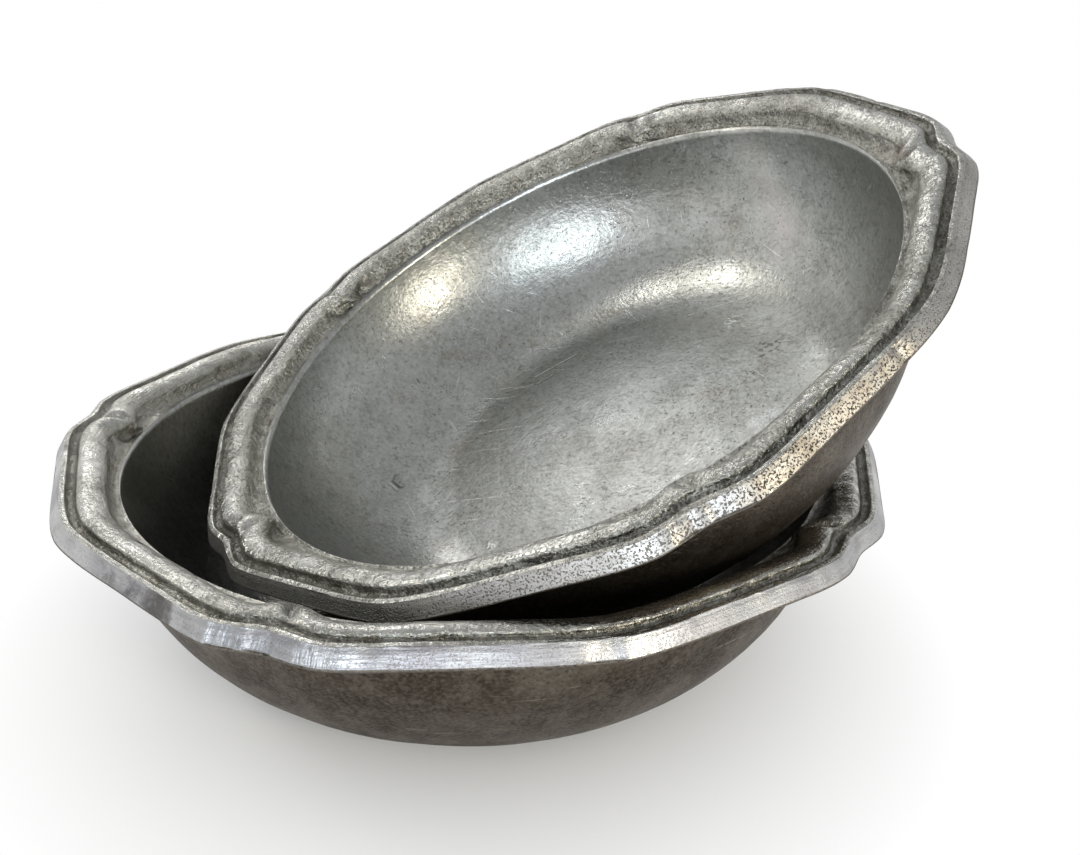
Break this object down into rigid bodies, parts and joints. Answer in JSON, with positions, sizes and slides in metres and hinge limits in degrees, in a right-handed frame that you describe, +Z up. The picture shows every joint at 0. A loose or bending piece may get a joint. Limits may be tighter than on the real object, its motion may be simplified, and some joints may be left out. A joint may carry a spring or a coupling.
{
  "type": "pair of pewter bowls",
  "caption": "Pair of small cast pewter bowls with lobed, moulded rims. One stands flat, the other leans tilted in its mouth.",
  "frame": {"origin": "middle of the standing bowl's flat foot, on the surface that it rests on", "axes": "+Z up along the standing bowl's axis, +Y away from a viewer at the front of the pair, +X to that viewer's right, where the leaning bowl is highest"},
  "size_m": [0.1722, 0.1686, 0.1061],
  "materials": {
    "lower_pewter": "aged cast pewter: grained and dark in the mouldings and outside, turned and darker inside",
    "upper_pewter": "aged cast pewter: grained on the rim, turned well with soft highlights, specks and scratches"
  },
  "bodies": {
    "lower": {"lower_bowl": "lower_pewter"},
    "upper": {"upper_bowl": "upper_pewter"}
  },
  "joints": [
    {"name": "upper_bowl_lift", "type": "slide", "parent": "lower", "child": "upper", "axis": [0, 0, 1], "range_m": [0, 0.06]}
  ]
}
